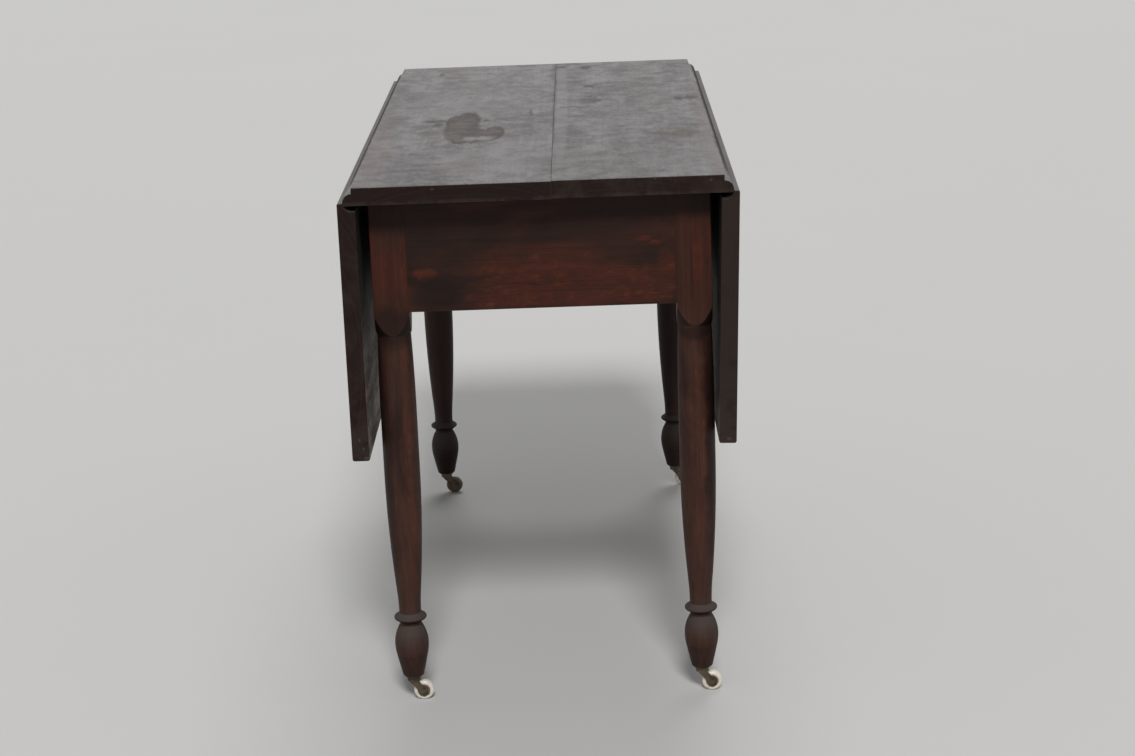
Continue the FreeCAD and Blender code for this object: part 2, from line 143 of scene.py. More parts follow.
def stretched(tree, place, scale, shift=(0, 0, 0)):
    node = tree.nodes.new("ShaderNodeMapping")
    tree.links.new(place, node.inputs["Vector"])
    node.inputs["Scale"].default_value = scale
    node.inputs["Location"].default_value = shift
    return node.outputs["Vector"]


def noise(tree, place, scale, detail, rough, distort=0.0, output="Fac"):
    node = tree.nodes.new("ShaderNodeTexNoise")
    tree.links.new(place, node.inputs["Vector"])
    node.inputs["Scale"].default_value = scale
    node.inputs["Detail"].default_value = detail
    node.inputs["Roughness"].default_value = rough
    node.inputs["Distortion"].default_value = distort
    return node.outputs[output]


def lineNoise(tree, value, scale):
    node = tree.nodes.new("ShaderNodeTexNoise")
    node.noise_dimensions = "1D"
    tree.links.new(value, node.inputs["W"])
    node.inputs["Scale"].default_value = scale
    node.inputs["Detail"].default_value = 2
    return node.outputs["Fac"]


def along(grain, long, across):             # a scale for each axis, with the long one on the grain
    return tuple(long if axis == grain else across for axis in "XYZ")


def grained(tree, place, grain, pattern, seed=(0, 0, 0)):
    long, across, detail, rough, distort = pattern
    return noise(tree, stretched(tree, place, along(grain, long, across), seed), 1, detail, rough, distort)


def speckled(tree, place, pattern, seed=(0, 0, 0)):     # the same in every direction
    scale, detail, rough = pattern
    return noise(tree, stretched(tree, place, (scale, scale, scale), seed), 1, detail, rough)


def wandered(tree, place, scale, size):     # the place, pushed about by noise
    push = noise(tree, place, scale, 3, 0.6, output="Color")
    push = vectorMaths(tree, "SUBTRACT", push, (0.5, 0.5, 0.5))
    push = vectorMaths(tree, "SCALE", push, size)
    return vectorMaths(tree, "ADD", place, push)


def frayed(tree, place, pushes):            # wide pushes and then fine ones, so that marks get ragged edges
    for scale, size in pushes:
        place = wandered(tree, place, scale, size)
    return place


def ovals(tree, place, spots, soft):        # 1 inside any of the ovals, each a centre and a reach
    masks = []
    for centre, reach in spots:
        away = vectorMaths(tree, "SUBTRACT", place, centre)
        away = vectorMaths(tree, "DIVIDE", away, reach)
        masks.append(spread(tree, vectorMaths(tree, "LENGTH", away), 1 + soft / 2, 1 - soft / 2))
    return chained(tree, "MAXIMUM", masks)


def pieceSpace(tree):
    return tree.nodes.new("ShaderNodeTexCoord").outputs["Object"]


def pieceNormal(tree):
    return tree.nodes.new("ShaderNodeTexCoord").outputs["Normal"]


def axisValue(tree, place, axis):
    node = tree.nodes.new("ShaderNodeSeparateXYZ")
    tree.links.new(place, node.inputs[0])
    return node.outputs[axis]


def facing(tree, way, start, full):         # 1 where the piece's own surface looks that way
    return spread(tree, vectorMaths(tree, "DOT_PRODUCT", pieceNormal(tree), way), start, full)


def rubbedEdges(tree, radius, start, full):     # 1 along the sharp edges of a piece
    bevel = tree.nodes.new("ShaderNodeBevel")
    bevel.samples = 6
    bevel.inputs["Radius"].default_value = radius
    geometry = tree.nodes.new("ShaderNodeNewGeometry")
    turn = vectorMaths(tree, "DOT_PRODUCT", bevel.outputs["Normal"], geometry.outputs["Normal"])
    return spread(tree, turn, start, full)


def bumped(tree, heights, bumps):           # bumps laid one over another, each with its depth and strength
    normal = None
    for key, (depth, strength) in bumps.items():
        node = tree.nodes.new("ShaderNodeBump")
        node.inputs["Strength"].default_value = strength
        node.inputs["Distance"].default_value = depth
        tree.links.new(heights[key], node.inputs["Height"])
        if normal is not None:
            tree.links.new(normal, node.inputs["Normal"])
        normal = node.outputs["Normal"]
    return normal


def setShader(tree, shader, colour, gloss, normal, sheen):
    shader.inputs["Specular IOR Level"].default_value = sheen
    feed(tree, shader.inputs["Base Color"], colour)
    feed(tree, shader.inputs["Roughness"], gloss)
    feed(tree, shader.inputs["Normal"], normal)


# grain that every wooden piece shares: uneven growth rings about a far pith, long fibres and short pores
# a grained pattern is its scale along and across the grain, its detail, its roughness and its distortion

grainSettings = {
    "sway": {"squeeze": 0.12, "scale": 7, "size": 0.016},
    "fibres": (7, 420, 4, 0.60, 0.0),
    "pores": (60, 1500, 2, 0.50, 0.0),
    "ringBand": (0.32, 0.68),
    "poreBand": (0.62, 0.72),
}


def woodGrain(tree, place, grain, ringWidth, pith, seed):
    look = grainSettings
    sway = look["sway"]
    swayed = stretched(tree, place, along(grain, sway["squeeze"], 1))
    swayed = wandered(tree, swayed, sway["scale"], sway["size"])
    away = vectorMaths(tree, "SUBTRACT", swayed, pith)
    away = vectorMaths(tree, "MULTIPLY", away, along(grain, 0, 1))
    rings = lineNoise(tree, vectorMaths(tree, "LENGTH", away), 1 / ringWidth)
    moved = stretched(tree, place, (1, 1, 1), seed)
    fibres = grained(tree, moved, grain, look["fibres"])
    pores = grained(tree, moved, grain, look["pores"])
    return spread(tree, rings, *look["ringBand"]), fibres, spread(tree, pores, *look["poreBand"])


# top boards and leaves: dark boards under a dull old varnish that has gone grey on the face

boardSettings = {
    "ringWidth": 0.0034,
    "sheen": 0.20,
    "colours": {
        "deepBrown": (0.0080, 0.0032, 0.0022),
        "warmBrown": (0.0180, 0.0070, 0.0046),
        "endWorn": (0.0330, 0.0225, 0.0175),
        "hazeDark": (0.056, 0.048, 0.046),
        "hazePale": (0.152, 0.140, 0.137),
        "hazeBrown": (0.108, 0.080, 0.069),
        "leafDark": (0.0270, 0.0185, 0.0158),
        "leafPale": (0.0690, 0.0535, 0.0475),
        "innerDark": (0.070, 0.055, 0.044),
        "innerPale": (0.320, 0.282, 0.250),
        # painted shade for the inner faces up by the hinge and for the top's lower face
        "innerPaintedShade": (0.010, 0.008, 0.007),
        # dust, which in the leaf's cove also stands for a painted highlight
        "dust": (0.105, 0.096, 0.087),
        "grime": (0.014, 0.011, 0.010),
        "bareWood": (0.086, 0.071, 0.053),
        "bareRed": (0.078, 0.052, 0.044),
        "bareDark": (0.044, 0.036, 0.031),
        "rimDark": (0.027, 0.023, 0.023),
        "scrapePale": (0.172, 0.156, 0.142),
        "faintBrown": (0.066, 0.047, 0.031),
        "markDark": (0.020, 0.015, 0.013),
    },
    "patterns": {                           # grained patterns
        "blotches": (4.5, 13, 3, 0.55, 0.5),
        "scuffs": (60, 170, 4, 0.60, 0.0),
        "streaks": (2.4, 75, 4, 0.60, 0.2),
        "endGrain": (38, 38, 5, 0.65, 0.3),
        "dents": (8, 24, 3, 0.50, 0.0),
    },
    "hazeMix": {"blotches": 0.34, "mottle": 0.44, "scuffs": 0.22},
    # where a layer starts and is full on its pattern and, as a third number, its share
    "ends": {"fibres": (0.40, 0.75, 0.70), "lowWear": (0.36, 0.56), "wornShare": 0.55},
    "varnish": {"haze": (0.36, 0.63), "streaks": (0.40, 0.66), "fibres": (0.46, 0.70, 0.50),
                "poreShare": 0.40, "gloss": (0.38, 0.62)},
    "inside": {"haze": (0.38, 0.60), "streaks": (0.42, 0.66, 0.45), "fibres": (0.50, 0.72, 0.40)},
    "bareRough": 0.80,
    "facing": {"way": (0.55, 0.80), "up": (0.30, 0.70), "dust": (0.25, 0.60)},
    # pale dust on the leaf's lip; in its cove the same colour also paints a highlight
    "dustAndHighlightOnLeaf": {"share": 0.80, "lip": (0.2492, 0.2472)},   # lip outward of these, cove inward
    # grime and painted shade low on the top's moulding
    "mouldingGrimeAndShade": {"share": 0.85, "rough": 0.45, "height": (0.7172, 0.7150), "length": (-0.50, -0.36)},
    "rubbedEdges": {"edge": (0.0024, 0.97, 0.80), "endGrain": (0.34, 0.58), "share": 0.55},
    "nicks": {"soft": 0.7, "share": 0.45},
    "bumps": {"dents": (0.0008, 0.20), "fibres": (0.0002, 0.40), "pores": (-0.00015, 0.80)},
}

topMarks = {
    "face": {"dark": "hazeDark", "pale": "hazePale", "rings": 0.34, "streaks": 0.10, "rough": (0.25, 0.38),
             "mottle": (30, 36, 4, 0.60, 0.4)},
    # heights over which painted shade darkens the top's lower face to nearly black
    "innerPaintedShade": (0.50, 0.69),
    "endWear": {"left": (0.52, 0.88), "right": (0.35, 0.70)},
    "lowWear": (0.7085, 0.7045),
    "nicks": [((-0.1335, -0.508, 0.7200), (0.0020, 0.004, 0.0013)),
              ((0.1485, -0.504, 0.7230), (0.0016, 0.004, 0.0011)),
              ((0.2190, -0.504, 0.7190), (0.0018, 0.004, 0.0013))],
    "height": 0.725,
    "depth": 0.05,
    "squeeze": (1.0, 0.2, 1.0),             # marks run along the boards, so their ragged edges do too
    "edges": {"ragged": ((70, 0.012), (300, 0.004)), "torn": ((70, 0.006), (300, 0.005))},
    "warmth": {"pattern": (5, 9, 4, 0.60, 0.6), "band": (0.50, 0.72, 0.45)},
    "nearEnd": {"start": -0.0990, "full": -0.1010, "share": 0.45},      # on the squeezed length
    # from the lowest layer to the uppermost; an oval is its middle on x and y and its reach on x and y
    "layers": {
        "dulled": {
            "colour": "hazeDark", "share": 0.30, "soft": 1.2,
            "ovals": [(0.130, -0.360, 0.110, 0.130), (-0.222, -0.10, 0.016, 0.42)]},
        "brightened": {
            "colour": "hazePale", "share": 0.40, "soft": 1.2,
            "ovals": [(-0.110, 0.160, 0.090, 0.170), (-0.060, -0.330, 0.060, 0.100)]},
        "edgeWarm": {
            "colour": "hazeBrown", "share": 0.60, "soft": 0.9, "edge": "ragged",
            "ovals": [(-0.226, -0.20, 0.020, 0.28), (0.230, -0.332, 0.0119, 0.1606),
                      (0.231, -0.009, 0.0087, 0.2202)]},
        "reddened": {
            "colour": "hazeBrown", "share": 0.60, "soft": 0.9, "edge": "ragged",
            "ovals": [(-0.150, 0.477, 0.0201, 0.0339), (-0.221, -0.353, 0.0162, 0.1509)]},
        "seamStrip": {
            "colour": "hazePale", "share": 0.60, "soft": 0.5,
            "ovals": [(0.0275, 0.06, 0.0095, 0.46)]},
        "seamGrime": {
            "colour": "markDark", "share": 0.75, "soft": 1.0,
            "ovals": [(0.0170, 0.20, 0.0030, 0.40), (0.0145, 0.42, 0.0050, 0.12)]},
        "stains": {
            "colour": "markDark", "share": 0.55, "soft": 0.9, "edge": "ragged", "rough": 0.12,
            "ovals": [(0.204, 0.112, 0.0075, 0.0140), (0.223, 0.108, 0.0119, 0.0140),
                      (0.042, 0.054, 0.0208, 0.0060), (0.026, 0.472, 0.0108, 0.0113),
                      (0.066, 0.449, 0.0082, 0.0167), (-0.017, 0.023, 0.0044, 0.0268),
                      (0.070, 0.250, 0.0078, 0.0101), (-0.169, 0.426, 0.0050, 0.0132),
                      (0.071, 0.118, 0.0181, 0.0282), (-0.082, -0.038, 0.0044, 0.0086)]},
        "faintPatch": {
            "colour": "faintBrown", "share": 0.55, "soft": 0.9, "edge": "torn", "rough": 0.08,
            "ovals": [(0.198, -0.198, 0.0190, 0.0400), (0.170, -0.185, 0.015, 0.016)]},
    },
    # the patch that has lost its varnish, with its dark rim, a scrape in it and whiskers beside it
    "barePatch": {
        "mottle": (0.35, 0.66),
        "scuffs": (0.46, 0.62, 0.40),
        "rough": 0.16,
        "whole": {
            "soft": 0.45, "edge": "torn",
            "ovals": [(-0.114, -0.105, 0.024, 0.096),       # long body
                      (-0.108, -0.030, 0.018, 0.065),       # far end
                      (-0.126, -0.040, 0.012, 0.052),       # shoulder on the left
                      (-0.112, -0.190, 0.012, 0.030),       # near tip
                      (-0.098, -0.155, 0.031, 0.055),       # bridge to the lobe
                      (-0.066, -0.140, 0.014, 0.052),       # lobe on the right
                      (-0.080, -0.187, 0.019, 0.015)]},     # near side of the lobe
        "rim": {"width": (0.0032, 0.0100, 0.01), "soft": 0.50, "mottle": (0.24, 0.46),
                "share": 0.90, "rough": 0.08},
        "red": {
            "share": 0.80, "soft": 0.8, "edge": "torn",
            "ovals": [(-0.074, -0.134, 0.0085, 0.0164), (-0.121, -0.076, 0.0087, 0.0127),
                      (-0.100, -0.025, 0.0088, 0.0113)]},
        "whiskers": {
            "share": 0.75, "soft": 0.8, "edge": "torn",
            "ovals": [(-0.154, -0.028, 0.0190, 0.0135), (-0.149, -0.063, 0.0085, 0.0175)]},
        "scraped": {
            "share": 0.70, "soft": 0.9, "edge": "torn", "rough": -0.16,
            "ovals": [(-0.098, -0.183, 0.0100, 0.0165), (-0.079, -0.186, 0.0127, 0.0150)]},
    },
}

leafFace = {"dark": "leafDark", "pale": "leafPale", "rings": 0.40, "streaks": 0.70, "rough": (0.40, 0.50),
            "mottle": (13, 44, 4, 0.60, 0.4)}

leafMarks = {
    "left": {
        "face": leafFace, "innerPaintedShade": (0.38, 0.62), "endWear": (0.40, 0.75), "lowWear": (0.46, 0.38),
        "dustAndHighlightInCove": 0.9,
        "nicks": [((-0.236, -0.508, 0.367), (0.004, 0.005, 0.0022)),
                  ((-0.245, -0.508, 0.392), (0.0013, 0.004, 0.0022)),
                  ((-0.240, -0.508, 0.380), (0.0012, 0.004, 0.0016))]},
    "right": {
        "face": leafFace, "innerPaintedShade": (0.26, 0.54), "endWear": (0.10, 0.50), "lowWear": (0.50, 0.38),
        "dustAndHighlightInCove": 0.15,
        "nicks": [((0.236, -0.508, 0.377), (0.003, 0.005, 0.0020))]},
}


def scaled(values, scales):
    return tuple(value * scale for value, scale in zip(values, scales))


def topOvals(tree, spaces, mark, rim=(0, 0, 0)):    # a mark on the face of the top, without its rim
    edge = mark.get("edge", "smooth")
    squeeze = (1, 1, 1) if edge == "smooth" else topMarks["squeeze"]
    spots = []
    for x, y, reachX, reachY in mark["ovals"]:
        reach = tuple(size - width for size, width in zip((reachX, reachY, topMarks["depth"]), rim))
        spots.append((scaled((x, y, topMarks["height"]), squeeze), scaled(reach, squeeze)))
    return ovals(tree, spaces[edge], spots, mark["soft"])


def topWear(tree, place, seed, patterns, face, gloss):
    look = topMarks
    paint = boardSettings["colours"]
    mottle = patterns["mottle"]
    squeezed = vectorMaths(tree, "MULTIPLY", place, look["squeeze"])
    spaces = {"smooth": place}
    for edge, pushes in look["edges"].items():
        spaces[edge] = frayed(tree, squeezed, pushes)

    warmth = grained(tree, place, "Y", look["warmth"]["pattern"], seed)
    face = layer(tree, warmth, look["warmth"]["band"], face, paint["hazeBrown"])
    for mark in look["layers"].values():
        mask = topOvals(tree, spaces, mark)
        face = over(tree, mask, mark["share"], face, paint[mark["colour"]])
        if "rough" in mark:
            gloss = rougher(tree, gloss, mask, mark["rough"])

    patch = look["barePatch"]
    rimmed = patch["rim"]
    whole = topOvals(tree, spaces, patch["whole"])
    inside = topOvals(tree, spaces, dict(patch["whole"], soft=rimmed["soft"]), rimmed["width"])
    rim = maths(tree, "SUBTRACT", whole, inside, True)
    whiskers = topOvals(tree, spaces, patch["whiskers"])
    scraped = topOvals(tree, spaces, patch["scraped"])
    gloss = rougher(tree, gloss, maths(tree, "MAXIMUM", whole, whiskers), patch["rough"])
    gloss = rougher(tree, gloss, rim, rimmed["rough"])
    gloss = rougher(tree, gloss, scraped, patch["scraped"]["rough"])
    bare = tint(tree, spread(tree, mottle, *patch["mottle"]), paint["bareDark"], paint["bareWood"])
    bare = over(tree, topOvals(tree, spaces, patch["red"]), patch["red"]["share"], bare, paint["bareRed"])
    bare = layer(tree, patterns["scuffs"], patch["scuffs"], bare, paint["bareDark"])
    face = over(tree, whiskers, patch["whiskers"]["share"], face, paint["bareDark"])
    face = tint(tree, whole, face, bare)
    rim = times(tree, rim, spread(tree, mottle, *rimmed["mottle"]))
    face = over(tree, rim, rimmed["share"], face, paint["rimDark"])
    face = over(tree, scraped, patch["scraped"]["share"], face, paint["scrapePale"])

    nearEnd = look["nearEnd"]
    worn = spread(tree, axisValue(tree, spaces["ragged"], "Y"), nearEnd["start"], nearEnd["full"])
    face = over(tree, worn, nearEnd["share"], face, paint["bareDark"])
    return face, gloss


def boardFinish(name, showWay, pith, seed, marks):
    look = boardSettings
    paint = look["colours"]
    show = marks["face"]
    up = (0, 0, 1)
    finish, tree, shader = startFinish(name)
    place = pieceSpace(tree)
    height = axisValue(tree, place, "Z")
    rings, fibres, pores = woodGrain(tree, place, "Y", look["ringWidth"], pith, seed)
    patterns = {}
    for key, pattern in dict(look["patterns"], mottle=show["mottle"]).items():
        patterns[key] = grained(tree, place, "Y", pattern, seed)
    streaks = patterns["streaks"]
    endGrain = patterns["endGrain"]
    hazeParts = [times(tree, patterns[key], share) for key, share in look["hazeMix"].items()]
    haze = chained(tree, "ADD", hazeParts)

    # end grain and moulded edges
    layers = look["ends"]
    wood = tint(tree, rings, paint["deepBrown"], paint["warmBrown"])
    wood = layer(tree, fibres, layers["fibres"], wood, paint["deepBrown"])
    wood = layer(tree, endGrain, (*marks["endWear"], layers["wornShare"]), wood, paint["endWorn"])
    lowWear = spread(tree, height, *marks["lowWear"])
    lowWear = times(tree, lowWear, spread(tree, endGrain, *layers["lowWear"]))
    wood = over(tree, lowWear, layers["wornShare"], wood, paint["endWorn"])

    # varnished face
    layers = look["varnish"]
    dark = paint[show["dark"]]
    face = tint(tree, spread(tree, haze, *layers["haze"]), dark, paint[show["pale"]])
    face = over(tree, rings, show["rings"], face, dark)
    face = layer(tree, streaks, (*layers["streaks"], show["streaks"]), face, dark)
    face = layer(tree, fibres, layers["fibres"], face, dark)
    face = over(tree, pores, layers["poreShare"], face, paint["markDark"])
    smooth, dull = show["rough"]
    gloss = between(tree, spread(tree, haze, *layers["gloss"]), dull, smooth)
    if "barePatch" in marks:
        face, gloss = topWear(tree, place, seed, patterns, face, gloss)

    # inner face, bare and dusty, with painted shade making it dark up beside the hinge and on the top's
    # lower face
    layers = look["inside"]
    inner = tint(tree, spread(tree, haze, *layers["haze"]), paint["innerDark"], paint["innerPale"])
    inner = layer(tree, streaks, layers["streaks"], inner, paint["innerDark"])
    inner = layer(tree, fibres, layers["fibres"], inner, paint["innerDark"])
    inner = tint(tree, spread(tree, height, *marks["innerPaintedShade"]), inner, paint["innerPaintedShade"])

    turned = look["facing"]
    outside = facing(tree, showWay, *turned["way"])
    shown = maths(tree, "MAXIMUM", outside, facing(tree, up, *turned["up"]))
    colour = tint(tree, shown, wood, face)
    backWay = tuple(-part for part in showWay)
    colour = tint(tree, facing(tree, backWay, *turned["way"]), colour, inner)
    gloss = between(tree, shown, look["bareRough"], gloss)
    if showWay[0]:                          # dust on the lip of a hanging leaf, and in its cove the same pale colour as a painted highlight
        outward = times(tree, axisValue(tree, place, "X"), showWay[0])
        inCove = spread(tree, outward, *look["dustAndHighlightOnLeaf"]["lip"])
        dusty = times(tree, facing(tree, up, *turned["dust"]), between(tree, inCove, 1, marks["dustAndHighlightInCove"]))
        colour = over(tree, dusty, look["dustAndHighlightOnLeaf"]["share"], colour, paint["dust"])
    else:                                   # grime and painted shade low in the top's moulding, less at its worn front end
        grimeAndShade = look["mouldingGrimeAndShade"]
        lowered = times(tree, spread(tree, height, *grimeAndShade["height"]), shown)
        lowered = times(tree, lowered, spread(tree, axisValue(tree, place, "Y"), *grimeAndShade["length"]))
        colour = over(tree, lowered, grimeAndShade["share"], colour, paint["grime"])
        gloss = rougher(tree, gloss, lowered, grimeAndShade["rough"])
    rubbed = look["rubbedEdges"]
    worn = times(tree, rubbedEdges(tree, *rubbed["edge"]), spread(tree, endGrain, *rubbed["endGrain"]))
    colour = over(tree, worn, rubbed["share"], colour, paint["bareDark"])
    nicks = ovals(tree, place, marks["nicks"], look["nicks"]["soft"])
    colour = over(tree, nicks, look["nicks"]["share"], colour, paint["bareWood"])

    heights = {"dents": patterns["dents"], "fibres": fibres, "pores": pores}
    normal = bumped(tree, heights, look["bumps"])
    setShader(tree, shader, colour, gloss, normal, look["sheen"])
    return finish


# aprons and legs: red-brown stain, rubbed through to the red where hands and feet go

frameSettings = {
    "ringWidth": 0.0040,
    "sheen": 0.14,
    "rough": (0.40, 0.66),
    "colours": {
        "almostBlack": (0.0070, 0.0042, 0.0034),
        "darkBrown": (0.0205, 0.0092, 0.0068),
        "orangeFleck": (0.1150, 0.0420, 0.0160),
        "dust": (0.070, 0.059, 0.053),
    },
    "apron": {"redBrown": (0.0520, 0.0175, 0.0112), "rubbedRed": (0.0780, 0.0185, 0.0092),
              "red": (0.42, 0.72), "streaks": 0.40},
    "frontLegs": {"redBrown": (0.0610, 0.0265, 0.0185), "rubbedRed": (0.0860, 0.0310, 0.0195),
                  "red": (0.28, 0.53), "streaks": 0.32},
    # the back legs' darker, less red tones are painted shade, for the shade under the top
    "backLegs": {"redBrown": (0.0350, 0.0165, 0.0120), "rubbedRed": (0.0560, 0.0200, 0.0130),
                 "red": (0.40, 0.66), "streaks": 0.45},
    "patterns": {                           # grained patterns
        "streaks": (5, 45, 4, 0.60, 0.3),
        "patches": (6, 14, 4, 0.60, 0.5),
        "scuffs": (60, 130, 5, 0.65, 0.0),
        "dents": (30, 30, 3, 0.50, 0.0),
    },
    "blockFoot": (0.50, 0.56),              # the square parts above it have kept more of the red
    "edges": ((24, 0.016), (110, 0.005)),
    "soft": 0.80,
    "rubbed": {"scuffs": (0.30, 0.70), "least": 0.45, "share": 0.85},
    "flecks": {"scuffs": (0.44, 0.30), "share": 0.40},
    "darkAndShadeShare": 0.65,
    "streaks": (0.46, 0.68),
    "ringShare": 0.30,
    "fibres": (0.50, 0.75, 0.40),
    "poreShare": 0.50,
    "rubbedEdges": {"edge": (0.003, 0.97, 0.80), "patches": (0.30, 0.55), "share": 0.60},
    "underside": (-0.10, -0.35, 0.75),
    "legDust": {"top": (0.150, 0.130), "lying": (-0.25, 0.65), "scuffs": (0.70, 0.95), "rough": 0.40},
    "bumps": {"dents": (0.0012, 0.30), "fibres": (0.0002, 0.50), "pores": (-0.00015, 0.80)},
}

# the near apron's marks: middle on x and z, and reach on x and z
apronFace = {
    "y": -0.468,
    "depth": 0.05,
    "rubbed": [
        (-0.004, 0.612, 0.084, 0.0215), (0.031, 0.619, 0.0206, 0.0092), (0.003, 0.566, 0.1020, 0.0170),
        (0.075, 0.583, 0.0900, 0.0226), (0.161, 0.590, 0.0120, 0.0320), (-0.150, 0.602, 0.0150, 0.0080),
        (0.133, 0.640, 0.0100, 0.0036), (0.147, 0.633, 0.0080, 0.0036), (0.126, 0.562, 0.0388, 0.0080),
        (-0.034, 0.584, 0.0520, 0.0140)],
    "darkPatchesAndPaintedShade": [(-0.139, 0.570, 0.0337, 0.0187), (-0.035, 0.583, 0.0480, 0.0006)],
}

# the near legs' marks: middle and reach; the dark ovals are painted shade, under the top's overhang, below
# the block's tongue and down the outer side of each leg
legMarks = {
    "front_left": {
        "rubbed": [((-0.186, -0.466, 0.36), (0.009, 0.03, 0.17)),
                   ((-0.218, -0.470, 0.62), (0.005, 0.05, 0.06)),
                   ((-0.176, -0.470, 0.61), (0.005, 0.05, 0.05)),
                   ((-0.198, -0.470, 0.603), (0.014, 0.05, 0.030))],
        "darkPatchesAndPaintedShade": [((-0.221, -0.455, 0.33), (0.013, 0.04, 0.20)),
                     ((-0.202, -0.468, 0.530), (0.032, 0.05, 0.027)),
                     ((-0.202, -0.468, 0.692), (0.060, 0.05, 0.034))]},
    "front_right": {
        "rubbed": [((0.197, -0.468, 0.38), (0.010, 0.03, 0.17)),
                   ((0.200, -0.470, 0.62), (0.007, 0.05, 0.05)),
                   ((0.217, -0.470, 0.61), (0.005, 0.05, 0.045))],
        "darkPatchesAndPaintedShade": [((0.221, -0.455, 0.33), (0.012, 0.04, 0.20)),
                     ((0.200, -0.468, 0.511), (0.026, 0.05, 0.010)),
                     ((0.202, -0.468, 0.697), (0.060, 0.05, 0.026))]},
}


def apronOvals(spots):
    y, depth = apronFace["y"], apronFace["depth"]
    return [((x, y, z), (reachX, depth, reachZ)) for x, z, reachX, reachZ in spots]


def frameFinish(name, kind, grain, pith, seed, marks=None, dusty=False):
    look = frameSettings
    paint = look["colours"]
    own = look[kind]
    finish, tree, shader = startFinish(name)
    place = pieceSpace(tree)
    height = axisValue(tree, place, "Z")
    upright = axisValue(tree, pieceNormal(tree), "Z")
    rings, fibres, pores = woodGrain(tree, place, grain, look["ringWidth"], pith, seed)
    patterns = {}
    for key, pattern in look["patterns"].items():
        patterns[key] = grained(tree, place, grain, pattern, seed)
    patches = patterns["patches"]
    scuffs = patterns["scuffs"]

    onBlock = spread(tree, height, *look["blockFoot"])
    redBrown = tint(tree, onBlock, own["redBrown"], look["apron"]["redBrown"])
    rubbedRed = tint(tree, onBlock, own["rubbedRed"], look["apron"]["rubbedRed"])
    colour = tint(tree, spread(tree, patches, *own["red"]), paint["darkBrown"], redBrown)
    if marks:
        ragged = frayed(tree, place, look["edges"])
        left = between(tree, spread(tree, scuffs, *look["rubbed"]["scuffs"]), 1, look["rubbed"]["least"])
        rubbed = times(tree, ovals(tree, ragged, marks["rubbed"], look["soft"]), left)
        colour = over(tree, rubbed, look["rubbed"]["share"], colour, rubbedRed)
        flecks = times(tree, rubbed, spread(tree, scuffs, *look["flecks"]["scuffs"]))
        colour = over(tree, flecks, look["flecks"]["share"], colour, paint["orangeFleck"])
        # dark ovals: painted shade on the near legs, plain dark patches on the near apron
        darkPatchesAndPaintedShade = ovals(tree, ragged, marks["darkPatchesAndPaintedShade"], look["soft"])
        colour = over(tree, darkPatchesAndPaintedShade, look["darkAndShadeShare"], colour, paint["almostBlack"])
    streakBand = (*look["streaks"], own["streaks"])
    colour = layer(tree, patterns["streaks"], streakBand, colour, paint["almostBlack"])
    colour = over(tree, rings, look["ringShare"], colour, paint["darkBrown"])
    colour = layer(tree, fibres, look["fibres"], colour, paint["almostBlack"])
    colour = over(tree, pores, look["poreShare"], colour, paint["almostBlack"])
    edges = look["rubbedEdges"]
    worn = times(tree, rubbedEdges(tree, *edges["edge"]), spread(tree, patches, *edges["patches"]))
    colour = over(tree, worn, edges["share"], colour, rubbedRed)
    # painted shade: faces that look downward are blended toward nearly black
    colour = layer(tree, upright, look["underside"], colour, paint["almostBlack"])
    gloss = between(tree, scuffs, *look["rough"])
    if dusty:                               # dust lies on the ring and the bulb
        lying = look["legDust"]
        dust = times(tree, spread(tree, height, *lying["top"]), spread(tree, upright, *lying["lying"]))
        dust = times(tree, dust, between(tree, scuffs, *lying["scuffs"]))
        colour = tint(tree, dust, colour, paint["dust"])
        gloss = rougher(tree, gloss, dust, lying["rough"])

    heights = {"dents": patterns["dents"], "fibres": fibres, "pores": pores}
    normal = bumped(tree, heights, look["bumps"])
    setShader(tree, shader, colour, gloss, normal, look["sheen"])
    return finish


# rails, fly brackets and glue blocks: plain wood, never varnished, gone brown with age

railSettings = {
    "ringWidth": 0.006,
    "sheen": 0.25,
    "rough": (0.70, 0.92),
    "agedPale": (0.200, 0.130, 0.072),
    "agedDark": (0.118, 0.072, 0.040),
    "grime": (0.036, 0.025, 0.018),
    "patches": (11, 4, 0.60),               # scale, detail and roughness
    "fibreBand": (0.45, 0.75, 0.50),
    "patchBand": (0.50, 0.75, 0.60),
    "poreShare": 0.40,
    "bumps": {"fibres": (0.0004, 0.60), "pores": (-0.0002, 0.80)},
}


def railFinish(name, grain, pith, seed):
    look = railSettings
    finish, tree, shader = startFinish(name)
    place = pieceSpace(tree)
    rings, fibres, pores = woodGrain(tree, place, grain, look["ringWidth"], pith, seed)
    patches = speckled(tree, place, look["patches"], seed)
    colour = tint(tree, rings, look["agedPale"], look["agedDark"])
    colour = layer(tree, fibres, look["fibreBand"], colour, look["agedDark"])
    colour = layer(tree, patches, look["patchBand"], colour, look["grime"])
    colour = over(tree, pores, look["poreShare"], colour, look["grime"])
    gloss = between(tree, fibres, *look["rough"])
    normal = bumped(tree, {"fibres": fibres, "pores": pores}, look["bumps"])
    setShader(tree, shader, colour, gloss, normal, look["sheen"])
    return finish


# iron of the hinges and screws, and brass of the casters, both dark with age

